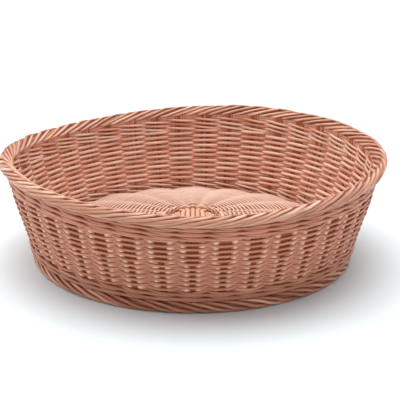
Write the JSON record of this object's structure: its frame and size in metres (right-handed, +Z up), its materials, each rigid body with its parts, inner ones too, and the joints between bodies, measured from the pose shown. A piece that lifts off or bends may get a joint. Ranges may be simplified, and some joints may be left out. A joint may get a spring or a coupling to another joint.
{
  "type": "round wicker basket",
  "caption": "Shallow round woven cane basket with flared sides, a thick rolled border, bands of waling, a domed base and a plaited foot.",
  "frame": {"origin": "on the ground, under the middle of the basket", "axes": "+Z up through the open top, -Y towards the front"},
  "size_m": [0.3996, 0.4, 0.1149],
  "materials": {
    "foot_cane": "peeled cane, darker and redder near the ground, satin",
    "stick_cane": "peeled cane stick, pale, satin",
    "base_cane": "peeled cane, pale honey, satin",
    "stake_cane": "peeled cane rod, shaded between the weavers, satin",
    "wale_cane": "peeled cane, pinkish honey, satin",
    "side_cane": "peeled cane, pinkish honey, lightly glossy",
    "border_cane": "peeled cane, pinkish honey, lightly glossy"
  },
  "bodies": {
    "root": {"foot_border": "foot_cane", "base_stick_01": "stick_cane", "base_stick_02": "stick_cane", "base_stick_03": "stick_cane", "base_stick_04": "stick_cane", "base_stick_05": "stick_cane", "base_stick_06": "stick_cane", "base_stick_07": "stick_cane", "base_stick_08": "stick_cane", "base_stick_09": "stick_cane", "base_stick_10": "stick_cane", "slath_pairing": "base_cane", "base_weave": "base_cane", "stake_01": "stake_cane", "stake_02": "stake_cane", "stake_03": "stake_cane", "stake_04": "stake_cane", "stake_05": "stake_cane", "stake_06": "stake_cane", "stake_07": "stake_cane", "stake_08": "stake_cane", "stake_09": "stake_cane", "stake_10": "stake_cane", "stake_11": "stake_cane", "stake_12": "stake_cane", "stake_13": "stake_cane", "stake_14": "stake_cane", "stake_15": "stake_cane", "stake_16": "stake_cane", "stake_17": "stake_cane", "stake_18": "stake_cane", "stake_19": "stake_cane", "stake_20": "stake_cane", "stake_21": "stake_cane", "stake_22": "stake_cane", "stake_23": "stake_cane", "stake_24": "stake_cane", "stake_25": "stake_cane", "stake_26": "stake_cane", "stake_27": "stake_cane", "stake_28": "stake_cane", "stake_29": "stake_cane", "stake_30": "stake_cane", "stake_31": "stake_cane", "stake_32": "stake_cane", "stake_33": "stake_cane", "stake_34": "stake_cane", "stake_35": "stake_cane", "stake_36": "stake_cane", "stake_37": "stake_cane", "stake_38": "stake_cane", "stake_39": "stake_cane", "upsett_wale": "wale_cane", "side_weave": "side_cane", "upper_wale": "wale_cane", "top_border": "border_cane"}
  },
  "joints": []
}
